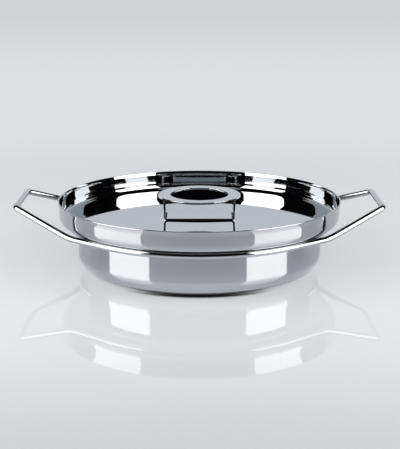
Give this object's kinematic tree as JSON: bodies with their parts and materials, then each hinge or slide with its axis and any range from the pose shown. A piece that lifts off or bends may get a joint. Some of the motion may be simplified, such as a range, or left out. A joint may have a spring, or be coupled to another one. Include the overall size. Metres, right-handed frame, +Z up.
{
  "type": "saute pan",
  "caption": "Low round polished-steel saute pan with a wire frame that forms loop handles, and a dish-shaped lid with a ring knob on a bent strip.",
  "frame": {"origin": "on the table, under the middle of the pan's base", "axes": "+X from handle to handle, +Y towards the back, +Z up"},
  "size_m": [0.3606, 0.28, 0.072],
  "materials": {
    "polished_steel": "mirror polished",
    "bare_aluminium": "plain"
  },
  "bodies": {
    "pan": {"pan_body": "polished_steel", "base_core": "bare_aluminium", "base_cap": "polished_steel", "handle_frame": "polished_steel", "frame_weld_front_1": "polished_steel", "frame_weld_front_2": "polished_steel", "frame_weld_front_3": "polished_steel", "frame_weld_rear_1": "polished_steel", "frame_weld_rear_2": "polished_steel", "frame_weld_rear_3": "polished_steel"},
    "lid": {"lid_dish": "polished_steel", "knob_bridge": "polished_steel", "knob_ring": "polished_steel", "knob_weld_left": "polished_steel", "knob_weld_right": "polished_steel"}
  },
  "joints": [
    {"name": "lid_lift", "type": "slide", "parent": "pan", "child": "lid", "axis": [0, 0, 1], "range_m": [0, 0.1]}
  ]
}
